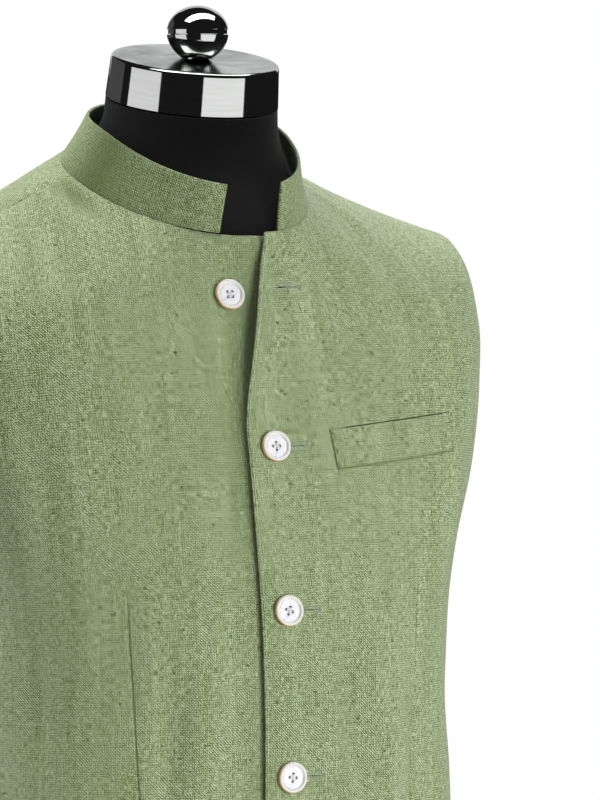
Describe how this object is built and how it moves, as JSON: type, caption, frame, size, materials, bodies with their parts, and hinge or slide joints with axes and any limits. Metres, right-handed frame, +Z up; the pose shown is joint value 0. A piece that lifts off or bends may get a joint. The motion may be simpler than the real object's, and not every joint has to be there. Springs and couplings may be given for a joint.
{
  "type": "nehru jacket on a dress form",
  "caption": "Sleeveless linen jacket with a band collar, a buttoned front and a welt pocket, standing on a limbless dress form with a chrome neck cap, finial, pole and round foot.",
  "frame": {"origin": "middle of the stand base's underside, on the floor", "axes": "+Z up, -Y the jacket's front, +X the wearer's left"},
  "size_m": [0.4242, 0.36, 1.0262],
  "materials": {
    "linen": "matte sage green linen with uneven slubs",
    "shell": "glossy pale shell with a pearl sheen",
    "jersey": "matte black jersey drawn over the form",
    "cap_chrome": "mirror polished",
    "stand_chrome": "polished, slightly soft"
  },
  "bodies": {
    "root": {"front_left": "linen", "front_right": "linen", "back": "linen", "collar": "linen", "chest_welt": "linen", "button_1": "shell", "button_2": "shell", "button_3": "shell", "button_4": "shell", "button_5": "shell", "form_torso": "jersey", "neck_cap": "cap_chrome", "finial": "cap_chrome", "stand_pole": "stand_chrome", "stand_base": "stand_chrome"}
  },
  "joints": []
}
